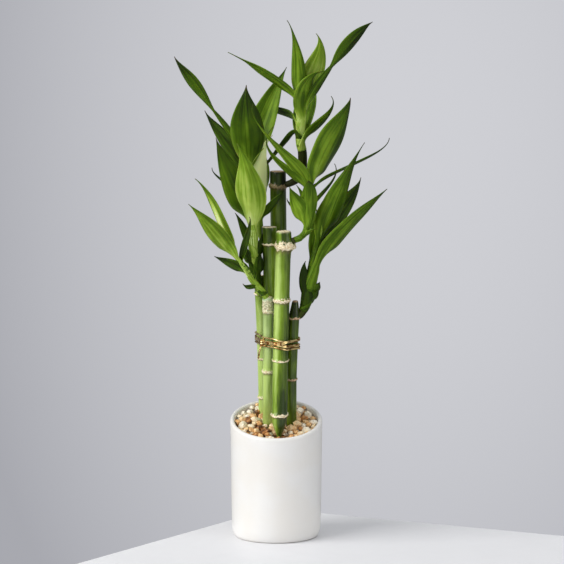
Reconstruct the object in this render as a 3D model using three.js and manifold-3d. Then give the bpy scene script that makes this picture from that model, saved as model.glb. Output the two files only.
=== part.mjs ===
// A potted lucky bamboo: six cut canes, each with a leafy shoot, tied into a bundle with gold wire and
// standing in gravel, in a white pot whose mouth is cut on a slant.
// Millimetres, +Z up. The origin is the centre of the pot's flat base, and -Y is the low side of the
// mouth, which is the front.
import * as THREE from "three";
import { mergeVertices } from "three/addons/utils/BufferGeometryUtils.js";
import Module from "manifold-3d";

const wasm = await Module();
wasm.setup();

// Pot
const POT_HEIGHT = 90; // on the axis
const POT_RADIUS = 35; // at the mouth
const POT_WAIST_RADIUS = 34; // just above the rounded foot
const POT_FOOT_RADIUS = 30.3; // of the flat that it stands on
const POT_FOOT_HEIGHT = 11; // of the rounding
const POT_WALL = 3.4;
const POT_FLOOR = 6;
const POT_CORNER = 5; // rounding of the inside where the wall meets the floor
const MOUTH_SLOPE = 0.28; // rise towards the back, per millimetre of depth
const SLANT_FROM = 20; // the slant fades in between these heights
const SLANT_TO = 75;

// Gravel
const GRAVEL_TOP = 85; // on the axis, under the pebbles
const GAP = 0.35; // between neighbours that touch
const SLIVER = 0.02; // the most that a surface moves when slivers are taken out
const PEBBLE_RADIUS = 3.8;
const PEBBLE_SPACING = 7.6;
const PEBBLE_ROW = 0.87; // spacing of the rows, as a share of the spacing in a row
const PEBBLE_JITTER = 0.35; // of a place, as a share of the spacing
const PEBBLE_SHAPE = [1, 0.85, 0.75];
const PEBBLE_SEED = 7;

// Canes, shoots and leaves
const RING_HEIGHT = 1.8; // half the height of a ring's swelling
const RING_STATIONS = [-1.4, 0, 1.4]; // sections of a ring, in half heights
const TAPERED = 0.35; // share of its radius that a tapering cane ends with
const BLADE = 0.8; // thickness of a leaf
const BLADE_TIP = 0.35; // half the width that a leaf ends with
const BLADE_RISE = 1.4; // exponents of the leaf's outline, from the root and to the tip
const BLADE_FALL = 1.65;
const BLADE_STEP = 12; // length of a leaf between two of its sections
const BLADE_FOLD = [0.2, 0.9]; // rise of its edges over its rib, per half width, at the tip and the root
const CLASP = 0.18; // how far a leaf follows its stem, as a share of its length
const SHEATH = 0.9; // half width with which a leaf leaves its stem, as a share of the stem's radius
const STEM_SIDES = 8;
const CANE_SIDES = 12;
const TURN_SEGMENTS = 40; // of the pot and the gravel

// Tie
const TIE_HEIGHT = 149;
const WIRE_RADIUS = 0.6;
const WIRE_STEPS = 22;
const WIRE_SIDES = 5;
const WIRE_ROOM = 0.7; // between the wire and the canes, which its straight lengths would cut
// Each turn of the wire as [height above the middle of the band, tilt, angle at which it is highest].
const TIE_TURNS = [[-1.3, 1.1, 200], [0, 1, 200], [1, 1.7, 40]];
const KNOT_ANGLE = 215;
const KNOT_SIZE = [1.4, 1.4, 2.8];
const TAIL = [[0, 0, 0], [-1.2, -0.8, -3], [-2.4, -0.4, -7], [-3, 0, -12]]; // from the knot

// Each cane: its axis as three points, its radius, and its rings as [height, swelling, dip at the front].
// lip is how far the cut end is rounded off, and taper the heights between which the lower end narrows.
const CANES = {
  front: {
    axis: [[2, -21, 62], [3.5, -11.5, 150], [5.7, -6.5, 234]],
    radius: 5.9,
    rings: [[96, 0.9, 0.12], [137, 0.9, 0.2], [182, 1.5, 0.15], [222, 2.2, 0.2]],
    lip: 0.8,
    taper: [76, 93],
  },
  tall: {
    axis: [[4.5, 23.5, 40], [2.8, 20.5, 150], [1.3, 18, 277]],
    radius: 6.2,
    rings: [[108, 0.8, 0.1], [160, 0.8, 0.1], [212, 0.8, 0.1], [266, 1.1, 0.1]],
    lip: 0.8,
  },
  mid: {
    axis: [[-0.5, 11.8, 40], [-2.6, 8, 150], [-5.3, 5, 236]],
    radius: 5.9,
    rings: [[116, 0.7, 0.1], [170, 0.7, 0.1], [223, 0.9, 0.1]],
    lip: 0.8,
  },
  left: {
    axis: [[-9.8, 19, 44], [-11, 15.6, 150], [-13.2, 14, 198]],
    radius: 3.8,
    rings: [[104, 0.8, 0.3], [134, 0.5, 0.2], [184, 0.9, 0.2]],
    lip: 0.6,
  },
  cap: {
    axis: [[-7, 3.4, 48], [-6.2, -3.8, 150], [-6.4, -3.4, 184]],
    radius: 3.8,
    rings: [[127, 0.9, 0.4], [177, 0.7, 0.2]],
    lip: 1.6,
  },
  right: {
    axis: [[11.4, 4, 48], [12.6, -4.1, 150], [14.4, -4.4, 181]],
    radius: 4,
    rings: [[121, 0.8, 0.2], [168, 0.9, 0.2]],
    lip: 1.8,
  },
};

// Each shoot: its stem as points from inside its cane upwards, each with the stem's radius there, and its
// leaves, each as [height of its root on the stem, middle of its rib, tip, width, roll in degrees].
const SHOOTS = {
  left: {
    stem: [
      [-12.8, 12, 184, 2.8],
      [-13.6, 7, 190, 3],
      [-15, 5, 201, 3.3],
      [-16.2, 4, 210, 3.8],
      [-17, 3, 220, 4],
      [-17.3, 2, 231, 3.9],
      [-18, 2, 241, 2.6],
      [-19.3, 2, 254, 2],
      [-20, 3, 270, 1.8],
      [-20.5, 4, 284, 1.5],
    ],
    leaves: [
      [280, [-47, 4, 323], [-76, -2, 364], 14, 38],
      [270, [-39, 9, 303], [-54, 13, 323], 15, 50],
      [236, [-34, -3, 274], [-45, -7, 304], 20, 60],
      [278, [-22, -15, 312], [-22, -22, 344], 25, 0],
      [236, [-21, -18, 268], [-29, -25, 301], 23, 0],
      [279, [-7, 19, 322], [8, 30, 355], 18, 0],
      [221, [-25, 0, 235], [-31, -2, 247], 6, 50],
      [196, [-18, 2, 203], [-23, -1, 211], 4, 50],
    ],
  },
  mid: {
    stem: [
      [-7, 7, 220, 2.4],
      [-11.2, 10.6, 228, 2.6],
      [-12.6, 12.6, 238, 2.6],
      [-12.8, 12.8, 250, 2.2],
      [-12.6, 12.6, 262, 1.6],
    ],
    leaves: [
      [248, [-9, 6, 277], [-2, 3, 300], 15, -50],
      [240, [-5, 8, 250], [6, 7, 263], 9, -50],
      [246, [-31, 20, 261], [-49, 22, 279], 9, 30],
      [256, [-15, 30, 284], [-21, 44, 305], 17, 0],
      [242, [-21, 30, 260], [-31, 44, 268], 14, 0],
    ],
  },
  tall: {
    stem: [
      [4, 17.6, 266, 2.6],
      [11, 16, 268, 3],
      [16.5, 15, 272, 3.6],
      [19.6, 14, 280, 4.1],
      [19.8, 13, 291, 3.5],
      [18.4, 12.4, 298, 2.9],
      [18.3, 12, 305, 3.5],
      [18.6, 10, 316, 4],
      [18.4, 8.4, 325, 3.5],
      [18, 7.6, 335, 2],
    ],
    leaves: [
      [328, [-3, 4, 348], [-36, 0, 367], 12, 25],
      [330, [15, 3, 364], [8, 0, 391], 13, 20],
      [328, [33, 9, 361], [30, 13, 381], 17, -60],
      [320, [38, -1, 352], [72, -6, 390], 14, -38],
      [308, [25, 1, 335], [38, -1, 351], 18, -20],
      [312, [1, 27, 320], [-13, 40, 326], 14, 35],
      [299, [33, 10, 313], [41, 13, 334], 9, -35],
      [305, [2, 16, 293], [-17, 18, 275], 5, 40],
      [302, [24, 32, 330], [28, 46, 352], 17, 0],
    ],
  },
  front: {
    stem: [
      [8, -7.2, 225, 2.6],
      [13.5, -8.6, 227, 2.7],
      [19, -10.4, 230, 2.7],
      [22.6, -11.4, 235, 2.6],
      [24, -11, 244, 2.4],
      [24.4, -10, 254, 2.2],
      [25.2, -9, 264, 2],
      [25.6, -8, 271, 1.6],
    ],
    leaves: [
      [229.5, [25, -15, 234], [31, -17, 236], 3, -40],
      [232, [16, -16, 251], [10, -17, 266], 11, 40],
      [231, [19, -7, 254], [15, -4, 267], 11, 40],
      [230, [13, -4, 243], [8, -2, 255], 4, 40],
      [231, [25, -16, 255], [24, -15, 274], 10, 0],
      [248, [39, -3, 265], [44, 1, 284], 8, -40],
      [263, [59, 5, 283], [86, 18, 302], 7, -30],
      [264, [42, 0, 299], [56, 8, 333], 20, -75],
      [266, [6, -17, 296], [-17, -25, 330], 13, 50],
      [262, [8, -5, 289], [-2, -2, 312], 12, 50],
    ],
  },
  right: {
    stem: [
      [14.5, -4.2, 168, 3],
      [18.6, -3.5, 170.5, 3.4],
      [21.2, -3, 177, 3.8],
      [24, -2, 187, 4.3],
      [26, -2, 195, 4.5],
      [28, -1, 204, 4.4],
      [29, 0, 211, 3.9],
      [30.3, 1, 219, 3],
      [31.6, 1, 227, 2.3],
      [32, 1, 235, 1.8],
    ],
    leaves: [
      [224, [46, -11, 261], [66, -16, 301], 17, -55],
      [222, [50, 4, 254], [64, 8, 273], 15, -40],
      [206, [52, -8, 237], [83, -13, 266], 14, -35],
      [226, [31, -2, 240], [30, -3, 250], 7, -20],
      [184, [19, -5, 198], [22, -4, 213], 6, 30],
      [178, [29.5, -3.5, 186], [33, -4, 193], 7, -50],
      [176, [28, -1, 182], [31, 0, 192], 6, -30],
      [210, [36, 20, 243], [44, 32, 264], 15, 0],
    ],
  },
  cap: {
    stem: [
      [-6.6, -4, 181, 2.8],
      [-9.6, -6, 187, 3],
      [-14, -8.4, 192, 3],
      [-18, -10.4, 198, 2.8],
      [-22, -12.4, 205, 2.6],
      [-26, -14, 210.5, 2.2],
      [-30, -15, 215, 1.8],
    ],
    leaves: [
      [212, [-46, -25, 234], [-65, -28, 256], 18, 50],
      [213, [-46, -11, 249], [-61, -6, 273], 17, 50],
      [201, [-35, -16, 210], [-46, -20, 216], 9, 45],
      [190, [-19, -13, 191.5], [-25, -15, 195], 6, 45],
      [211, [-22, -14, 229], [-20, -12, 245], 5, 60],
    ],
  },
};

// Colours are those of the real surfaces, as [colour, roughness, metalness].
const FINISHES = {
  pot: [0xf2f1ee, 0.35, 0],
  gravel: [0xc9a578, 0.8, 0],
  cane: [0x6f9a3a, 0.45, 0],
  shoot: [0x3f7a2b, 0.4, 0],
  tie: [0xb98a2e, 0.3, 1],
};

const X = new THREE.Vector3(1, 0, 0);
const Y = new THREE.Vector3(0, 1, 0);
const Z = new THREE.Vector3(0, 0, 1);
const vector = (point) => new THREE.Vector3(...point);

// A closed geometry as a solid that can be joined and cut.
function solidOf(geometry) {
  const bare = geometry.clone();
  bare.deleteAttribute("normal");
  bare.deleteAttribute("uv");
  const merged = mergeVertices(bare, 1e-4);
  return new wasm.Manifold(
    new wasm.Mesh({
      numProp: 3,
      vertProperties: merged.attributes.position.array,
      triVerts: new Uint32Array(merged.index.array),
    }),
  );
}

function geometryOf(solid) {
  const mesh = solid.getMesh();
  const geometry = new THREE.BufferGeometry();
  geometry.setAttribute("position", new THREE.BufferAttribute(new Float32Array(mesh.vertProperties), 3));
  geometry.setIndex(new THREE.BufferAttribute(new Uint32Array(mesh.triVerts), 1));
  geometry.computeVertexNormals();
  return geometry;
}

const union = (solids) => solids.reduce((sum, solid) => sum.add(solid));

// A solid without the slivers and loose scraps that joining and cutting can leave.
function tidied(solid) {
  return solid
    .asOriginal()
    .simplify(SLIVER)
    .decompose()
    .reduce((best, body) => (body.volume() > best.volume() ? body : best));
}

// Skins rings of points, each in order round the direction of travel, into one closed surface. Strips in
// `mirrored` are split along their other diagonal, and the end caps fan out from point `hub`.
function loft(rings, { mirrored = [], hub = 0, closed = false } = {}) {
  const sides = rings[0].length;
  const index = [];
  const spans = closed ? rings.length : rings.length - 1;
  for (let i = 0; i < spans; i++)
    for (let j = 0; j < sides; j++) {
      const next = (i + 1) % rings.length;
      const a = i * sides + j;
      const b = i * sides + ((j + 1) % sides);
      const c = next * sides + ((j + 1) % sides);
      const d = next * sides + j;
      index.push(...(mirrored.includes(j) ? [a, b, d, b, c, d] : [a, b, c, a, c, d]));
    }
  if (!closed)
    for (let k = 1; k < sides - 1; k++) {
      const end = (rings.length - 1) * sides;
      const [from, to] = [(hub + k) % sides, (hub + k + 1) % sides];
      index.push(hub, to, from, end + hub, end + from, end + to);
    }
  const geometry = new THREE.BufferGeometry().setFromPoints(rings.flat());
  geometry.setIndex(index);
  return geometry;
}

// A round section: `up` fixes where its points start, so that neighbouring sections line up.
function roundRing(centre, along, up, radius, sides) {
  const u = new THREE.Vector3().crossVectors(up, along).normalize();
  const v = new THREE.Vector3().crossVectors(along, u).normalize();
  return Array.from({ length: sides }, (_, j) => {
    const angle = (2 * Math.PI * j) / sides;
    return centre
      .clone()
      .addScaledVector(u, radius * Math.cos(angle))
      .addScaledVector(v, radius * Math.sin(angle));
  });
}

// Pot
const smooth = (value, from, to) => THREE.MathUtils.smoothstep(value, from, to);

function slantMouth(geometry) {
  const position = geometry.attributes.position;
  for (let i = 0; i < position.count; i++) {
    const lift = position.getY(i) * MOUTH_SLOPE * smooth(position.getZ(i), SLANT_FROM, SLANT_TO);
    position.setZ(i, position.getZ(i) + lift);
  }
  return geometry;
}

function turned(profile) {
  return new THREE.LatheGeometry(profile, TURN_SEGMENTS).rotateX(Math.PI / 2);
}

// Points of an elliptical arc in the profile plane, from one angle to another in degrees.
function arc(radius, height, wide, high, from, to, steps) {
  return Array.from({ length: steps + 1 }, (_, i) => {
    const angle = THREE.MathUtils.degToRad(from + ((to - from) * i) / steps);
    return new THREE.Vector2(radius + wide * Math.cos(angle), height + high * Math.sin(angle));
  });
}

function potGeometry() {
  const lip = POT_WALL / 2;
  const inner = POT_RADIUS - POT_WALL;
  const profile = [
    new THREE.Vector2(0, 0),
    ...arc(
      POT_FOOT_RADIUS,
      POT_FOOT_HEIGHT,
      POT_WAIST_RADIUS - POT_FOOT_RADIUS,
      POT_FOOT_HEIGHT,
      -90,
      0,
      4,
    ),
    ...arc(POT_RADIUS - lip, POT_HEIGHT - lip, lip, lip, 0, 180, 4),
    ...arc(inner - POT_CORNER, POT_FLOOR + POT_CORNER, POT_CORNER, POT_CORNER, 0, -90, 2),
    new THREE.Vector2(0, POT_FLOOR),
  ];
  return slantMouth(turned(profile));
}

// Canes
// The point of an axis at a height, on the parabola through the axis's three points.
function onAxis(axis, height) {
  const point = new THREE.Vector3(0, 0, height);
  axis.forEach(([x, y, z], i) => {
    let share = 1;
    axis.forEach((other, j) => {
      if (j !== i) share *= (height - other[2]) / (z - other[2]);
    });
    point.x += x * share;
    point.y += y * share;
  });
  return point;
}

// A cane, or with `grow` the room that it needs in the gravel or beside a shoot.
function caneSolid({ axis, radius, rings, lip, taper }, grow = 0) {
  const foot = axis[0][2];
  const top = axis[2][2];
  const heights = [foot, top - lip, top];
  rings.forEach(([height]) => {
    RING_STATIONS.forEach((step) => heights.push(height + step * RING_HEIGHT));
  });
  rings.slice(1).forEach(([height], i) => heights.push((height + rings[i][0]) / 2));
  if (taper) heights.push(...taper, (taper[0] + taper[1]) / 2);
  const stations = heights.filter((height) => height <= top).sort((a, b) => a - b);
  return solidOf(
    loft(
      stations.map((height) => {
        let wide = radius;
        let dip = 0;
        rings.forEach(([ring, swelling, slope]) => {
          const near = Math.exp(-(((height - ring) / RING_HEIGHT) ** 2));
          wide += swelling * near;
          dip += slope * near;
        });
        if (taper) wide *= THREE.MathUtils.lerp(TAPERED, 1, smooth(height, ...taper));
        if (height === top) wide -= lip;
        const centre = onAxis(axis, height);
        if (grow && height === foot) centre.z -= grow;
        if (grow && height === top) centre.z += grow;
        return roundRing(centre, Z, Y, wide + grow, CANE_SIDES).map((point) => {
          point.z += dip * (point.y - centre.y);
          return point;
        });
      }),
    ),
  );
}

// Gravel: a plug that fills the pot, with pebbles half sunk in its top and a plain hole for each cane.
function randomFrom(seed) {
  let state = seed;
  return () => {
    state = (state * 1103515245 + 12345) % 2147483648;
    return state / 2147483648;
  };
}

function gravelSolid(rooms) {
  const outer = POT_RADIUS - POT_WALL - GAP;
  const bottom = POT_FLOOR + GAP;
  const corner = POT_CORNER + GAP;
  const plugOf = (height) =>
    solidOf(
      slantMouth(
        turned([
          new THREE.Vector2(0, bottom),
          ...arc(outer - corner, bottom + corner, corner, corner, -90, 0, 2),
          new THREE.Vector2(outer, height),
          new THREE.Vector2(0, height),
        ]),
      ),
    );
  const random = randomFrom(PEBBLE_SEED);
  const pebbles = [];
  const rows = Math.ceil(outer / PEBBLE_SPACING) + 1;
  for (let row = -rows; row <= rows; row++)
    for (let column = -rows; column <= rows; column++) {
      const x = (column + (row % 2 ? 0.5 : 0) + PEBBLE_JITTER * (random() - 0.5)) * PEBBLE_SPACING;
      const y = (row * PEBBLE_ROW + PEBBLE_JITTER * (random() - 0.5)) * PEBBLE_SPACING;
      const size = PEBBLE_RADIUS * (0.8 + 0.4 * random());
      const pebble = new THREE.IcosahedronGeometry(size, 0);
      pebble.scale(...PEBBLE_SHAPE);
      pebble.rotateX(random() * Math.PI);
      pebble.rotateZ(random() * Math.PI);
      const sunk = 0.1 * size + 0.8 * random();
      pebble.translate(x, y, GRAVEL_TOP + y * MOUTH_SLOPE - sunk);
      const covered = Object.values(CANES).some(({ axis, radius }) => {
        const foot = onAxis(axis, GRAVEL_TOP);
        return Math.hypot(x - foot.x, y - foot.y) < radius;
      });
      if (Math.hypot(x, y) < outer + 0.2 * size && !covered) pebbles.push(solidOf(pebble));
    }
  return tidied(
    union([plugOf(GRAVEL_TOP), ...pebbles])
      .intersect(plugOf(POT_HEIGHT))
      .subtract(union(rooms)),
  );
}

// Shoots
function stemSolid(stem, curve) {
  const last = stem.length - 1;
  return solidOf(
    loft(
      stem.map(([x, y, z, radius], i) =>
        roundRing(new THREE.Vector3(x, y, z), curve.getTangent(i / last), Y, radius, STEM_SIDES),
      ),
    ),
  );
}

// The point of a stem at a height: stems rise all the way, so the height is found by halving.
function onStem(curve, height) {
  let low = 0;
  let high = 1;
  for (let i = 0; i < 30; i++) {
    const half = (low + high) / 2;
    if (curve.getPoint(half).z < height) low = half;
    else high = half;
  }
  return low;
}

// Half the width of a blade, from 0 at its root through 1 at its widest to 0 at its tip.
function outline(share) {
  const peak = BLADE_RISE / (BLADE_RISE + BLADE_FALL);
  return (share / peak) ** BLADE_RISE * ((1 - share) / (1 - peak)) ** BLADE_FALL;
}

function leafSolid(stem, curve, [rootHeight, middle, tip, width, roll]) {
  const place = onStem(curve, rootHeight);
  const stemRadius = stem[Math.round(place * (stem.length - 1))][3];
  const onto = curve.getPoint(place);
  const end = vector(tip);
  const away = end.clone().sub(onto).setZ(0).normalize();
  const root = onto.clone().addScaledVector(away, 0.5 * stemRadius);
  const length = root.distanceTo(end);
  const leaving = root.clone().addScaledVector(curve.getTangent(place), CLASP * length);
  // The last handle brings the rib through the leaf's middle at half way.
  const bend = vector(middle)
    .multiplyScalar(8)
    .sub(root)
    .addScaledVector(leaving, -3)
    .sub(end)
    .divideScalar(3);
  const rib = new THREE.CubicBezierCurve3(root, leaving, bend, end);
  const steps = THREE.MathUtils.clamp(Math.round(length / BLADE_STEP), 4, 8);
  const turn = THREE.MathUtils.degToRad(roll);
  const across = new THREE.Vector3().crossVectors(Z, away);
  const rings = Array.from({ length: steps + 1 }, (_, i) => {
    const share = i / steps;
    const along = rib.getTangent(share);
    const side = across.clone().addScaledVector(along, -across.dot(along)).normalize();
    const face = new THREE.Vector3().crossVectors(along, side);
    side.applyAxisAngle(along, turn);
    face.applyAxisAngle(along, turn);
    const half = (width / 2) * outline(share) + SHEATH * stemRadius * (1 - share) ** 6 + BLADE_TIP * share;
    const fold = half * THREE.MathUtils.lerp(...BLADE_FOLD, (1 - share) ** 3);
    const centre = rib.getPoint(share);
    const at = (sideways, upwards) =>
      centre.clone().addScaledVector(side, sideways).addScaledVector(face, upwards);
    const thick = BLADE / 2;
    return [
      at(half, fold - thick),
      at(half, fold + thick),
      at(0, thick),
      at(-half, fold + thick),
      at(-half, fold - thick),
      at(0, -thick),
    ];
  });
  return solidOf(loft(rings, { mirrored: [2, 5], hub: 2 }));
}

function shootSolid({ stem, leaves }, room) {
  const curve = new THREE.CatmullRomCurve3(stem.map(([x, y, z]) => new THREE.Vector3(x, y, z)));
  const blades = leaves.map((leaf) => leafSolid(stem, curve, leaf));
  return tidied(union([stemSolid(stem, curve), ...blades]).subtract(room));
}

// Tie: turns of wire round the outline of the bundle, a knot at the front left and a hanging tail.
function wireSolid(points, closed = false) {
  const last = points.length - 1;
  const rings = points.map((point, i) => {
    const before = points[closed ? (i + last) % (last + 1) : Math.max(i - 1, 0)];
    const after = points[closed ? (i + 1) % (last + 1) : Math.min(i + 1, last)];
    return roundRing(point, after.clone().sub(before).normalize(), X.clone().add(Z), WIRE_RADIUS, WIRE_SIDES);
  });
  return solidOf(loft(rings, { closed }));
}

// The point at an angle on a band stretched round the bundle.
function roundBundle(angle, height) {
  const out = new THREE.Vector3(Math.cos(angle), Math.sin(angle), 0);
  let best = null;
  Object.values(CANES).forEach(({ axis, radius }) => {
    const centre = onAxis(axis, height);
    const reach = centre.dot(out) + radius;
    if (!best || reach > best.reach) best = { centre, radius, reach };
  });
  return best.centre.addScaledVector(out, best.radius + WIRE_ROOM + WIRE_RADIUS);
}

function tieSolid() {
  const wires = TIE_TURNS.map(([lift, tilt, highest]) => {
    const peak = THREE.MathUtils.degToRad(highest);
    return wireSolid(
      Array.from({ length: WIRE_STEPS }, (_, i) => {
        const angle = (2 * Math.PI * i) / WIRE_STEPS;
        const point = roundBundle(angle, TIE_HEIGHT);
        point.z += lift + tilt * Math.cos(angle - peak);
        return point;
      }),
      true,
    );
  });
  const knotAt = roundBundle(THREE.MathUtils.degToRad(KNOT_ANGLE), TIE_HEIGHT);
  const knot = new THREE.IcosahedronGeometry(1, 0).scale(...KNOT_SIZE);
  knot.translate(knotAt.x, knotAt.y, knotAt.z);
  const tail = TAIL.map((step) => knotAt.clone().add(vector(step)));
  return tidied(union([...wires, solidOf(knot), wireSolid(tail)]));
}

// Assembly
function piece(name, geometry, finish) {
  const [color, roughness, metalness] = FINISHES[finish];
  const mesh = new THREE.Mesh(geometry, new THREE.MeshStandardMaterial({ color, roughness, metalness }));
  mesh.name = name;
  return mesh;
}

const rooms = Object.fromEntries(
  Object.entries(CANES).map(([name, cane]) => [name, caneSolid(cane, GAP)]),
);
const plant = new THREE.Group();
plant.add(piece("pot", potGeometry(), "pot"));
plant.add(piece("gravel", geometryOf(gravelSolid(Object.values(rooms))), "gravel"));
Object.entries(CANES).forEach(([name, cane]) => {
  const stalk = new THREE.Group();
  stalk.add(piece("cane_" + name, geometryOf(caneSolid(cane)), "cane"));
  stalk.add(piece("shoot_" + name, geometryOf(shootSolid(SHOOTS[name], rooms[name])), "shoot"));
  plant.add(stalk);
});
plant.add(piece("tie", geometryOf(tieSolid()), "tie"));

export default plant;
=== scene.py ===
"""A potted lucky bamboo: six cut canes with leafy shoots, tied with gold wire, in a slanted white pot.

The tables are in millimetres, in the CAD model's frame: +Z up, the front is -Y. Meshes are scaled to
metres last.
"""

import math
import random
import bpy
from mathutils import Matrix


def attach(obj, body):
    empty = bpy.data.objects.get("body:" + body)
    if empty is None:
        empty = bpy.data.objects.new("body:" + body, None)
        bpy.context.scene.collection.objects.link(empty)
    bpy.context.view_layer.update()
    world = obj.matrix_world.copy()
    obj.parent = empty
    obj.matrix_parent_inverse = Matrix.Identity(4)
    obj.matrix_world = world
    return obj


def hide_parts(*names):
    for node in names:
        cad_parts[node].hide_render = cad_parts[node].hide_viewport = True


bl_info = {
    "name": "Potted Lucky Bamboo",
    "version": (1, 0, 0),
    "blender": (4, 5, 0),
    "location": "View3D > Sidebar > Bamboo",
    "description": "Builds a lucky bamboo with its pot, gravel and tie, and a plain studio round it",
    "category": "Object",
}

from collections import namedtuple

import bmesh
import bpy
from mathutils import Matrix, Vector, noise

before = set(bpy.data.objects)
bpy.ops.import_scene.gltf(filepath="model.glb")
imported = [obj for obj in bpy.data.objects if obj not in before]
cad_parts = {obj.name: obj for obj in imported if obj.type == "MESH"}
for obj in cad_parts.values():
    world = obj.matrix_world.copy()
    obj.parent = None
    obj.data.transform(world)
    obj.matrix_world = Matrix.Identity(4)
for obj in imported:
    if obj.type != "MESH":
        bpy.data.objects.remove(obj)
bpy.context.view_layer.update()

MM = 0.001
UP = Vector((0, 0, 1))

# Pot, all in millimetres but the slope
WAIST_SHARE = 0.971  # radius just above the foot, as a share of the mouth's
FOOT_SHARE = 0.866  # radius of the flat that it stands on
FOOT_HEIGHT = 11
FLOOR = 6
INNER_CORNER = 5
SLANT_FROM = 20  # the mouth's slant fades in between these heights
SLANT_TO = 75
POT_STEPS = 128

# Gravel
GRAVEL_TOP = 85  # on the axis
GRAVEL_BED = 82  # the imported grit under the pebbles
GRAVEL_GAP = 0.5  # to the pot's wall and floor
GRAVEL_TILT = 0.075  # slope of its top over that of the mouth
BED_ROUGH = 0.9
BED_STEPS = 64
PEBBLE_LAYERS = ((-0.8, 2040), (1.9, 3480))  # each [height over the top, places tried]
PEBBLE_SIZES = (0.75, 0.9, 1, 1.15, 1.35)
PEBBLE_APART = 0.78  # least distance of two pebbles, as a share of their radii together
PEBBLE_OFF_WALL = 0.85  # the same from the wall and from a cane, as shares of its own radius
PEBBLE_OFF_CANE = 0.35
PEBBLE_ROUGH = (0.5, 0.34)  # depth of its hollows and of its ridges, as shares of its radius
PEBBLE_DEEP = (0.72, 0.95)  # least and most depth and height, as shares of its width
PEBBLE_TALL = (0.6, 0.8)
PEBBLE_TILT = 0.5

# Canes: the axis through three points, the radius, the rings, how far the cut end is rounded off, the
# tone (-1 deep, 1 light), and how much lighter the left side is painted, as painted light and shade. Some
# have more: a waxy bloom, a pale painted highlight band at the left, the heights between which the foot
# tapers, how much lighter they get from foot to top, where a pale cap begins, and the width of the cut end
# as a share of the cane's.
Cane = namedtuple(
    "Cane",
    "node slot axis radius rings lip tone sun bloom band taper rise cap stub",
    defaults=(0, 0, None, 0, None, 1),
)
# A ring: its height, how far it stands out, its dip at the front, half its height, how lumpy it is, how
# much of it is scar, and how far it stands to the right.
Ring = namedtuple("Ring", "height swelling dip tall lumps scar aside", defaults=(0.7, 0.25, 1, 0))
RING_STEPS = (-4, -2.2, -1.5, -1.1, -0.8, -0.5, -0.2, 0.1, 0.4, 0.7, 1.0, 1.4, 2, 3, 5)
RING_FAR = 9  # the most that is kept of the distance from a ring, in half heights
RING_SPREAD = 1.6  # how far its dip and lumps reach, in half heights
TAPERED = 0.18  # share of its radius that the tapering cane ends with
CANE_SIDES = 40
HIGHLIGHT_BAND_AT = 0.55  # where the pale painted highlight band of a cane lies, from its axis to the left in radii
HIGHLIGHT_BAND_WIDE = 0.22  # half its width, in the same
LIGHTENED = (110, 175)  # a cane gets lighter between these heights
BLOOMED = (128, 148)  # the waxy bloom begins between these heights
FOOT_DARKER = 0.05  # how much deeper the green is under the tapering cane's first ring
CROWN_DARKER = 0.6  # how much deeper it gets over the last stretch below the last ring
CROWN = 24  # length of that stretch
STUB_DARKER = 0.5  # how much deeper the green is over a cane's last ring
STUB_FROM = 2  # how far over the last ring a stub begins to narrow
CAP_PALER = 1.2  # how much lighter a pale cap is
GLOSS = 0.36  # weight of the wax coat
DARK_GLOSS = 0.35
CRACK_SHARE = (0.67, 0.52, 0.4)  # colour in the cracks of a dry scar, as a share of its own

CANES = (
    Cane(
        "cane_front", "cane_green", ((2, -21, 62), (3.5, -11.5, 150), (5.7, -6.5, 234)), 5.8,
        (
            Ring(96, 0.9, 0.12, 1.1, 1.1),
            Ring(137, 0.8, 0.2, 0.6, 0.15),
            Ring(182, 1, 0.15, 1.4, 0.5),
            Ring(223, 2.1, 0.2, 2.7, 1.5, aside=1.6),
        ),
        lip=1.7, tone=-0.45, sun=0.7, band=0.9, taper=(76, 93), rise=0.7,
    ),
    Cane(
        "cane_tall", "cane_dark", ((4.5, 23.5, 40), (2.8, 20.5, 150), (1.3, 18, 277)), 6.1,
        (
            Ring(108, 0.7, 0.1),
            Ring(160, 0.7, 0.1),
            Ring(212, 0.7, 0.1, 0.6, 0.2),
            Ring(266, 1.1, 0.1, 1.5, 0.8, 0.45),
        ),
        lip=0.8, tone=0.4, sun=0.2,
    ),
    Cane(
        "cane_mid", "cane_green", ((-0.5, 11.8, 40), (-2.6, 8, 150), (-5.3, 5, 236)), 5.8,
        (Ring(116, 0.6, 0.1), Ring(170, 0.6, 0.1, 0.8, 0.4), Ring(223, 0.8, 0.1, 0.8, 0.4)),
        lip=0.8, tone=-0.2, sun=-1.5,
    ),
    # Its light tone is partly painted light: this cane stands in the full key light
    Cane(
        "cane_left", "cane_green", ((-9.8, 19, 44), (-11, 15.6, 150), (-13.2, 14, 198)), 3.8,
        (Ring(104, 0.7, 0.3, 0.8, 0.5), Ring(134, 0.4, 0.2, 0.7), Ring(184, 0.8, 0.2)),
        lip=0.6, tone=0.9, sun=0.05, bloom=0.1, rise=-0.4,
    ),
    Cane(
        "cane_cap", "cane_green", ((-7, 3.4, 48), (-6.2, -3.8, 150), (-6.4, -3.4, 184)), 3.8,
        (
            Ring(127, 1, 0.2, 1.3, 0.5, 0.9),
            Ring(172.8, 0.5, 0.15, 1.1, 0.6, 0.75),
            Ring(174.7, 0.3, 0, 1.1, 0.8, 0.55),
            Ring(176.6, 0.2, 0, 1.1, 0.9, 0.55),
            Ring(178.5, 0.2, 0, 1.1, 0.8, 0.55),
            Ring(180.3, 0.2, 0, 1.1, 0.7, 0.5),
        ),
        lip=1.5, tone=0.85, sun=0, bloom=0.6, band=0.2, rise=-0.8, cap=171.5,
    ),
    Cane(
        "cane_right", "cane_dark", ((11.4, 4, 48), (12.6, -4.1, 150), (14.4, -4.4, 181)), 4,
        (Ring(121, 0.8, 0.2, 0.7, 0.2), Ring(168, 0.9, 0.2, 0.7, 0.5)),
        lip=1.8, tone=0.15, sun=-0.1, band=0.4, rise=0.7, stub=0.55,
    ),
)

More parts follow.
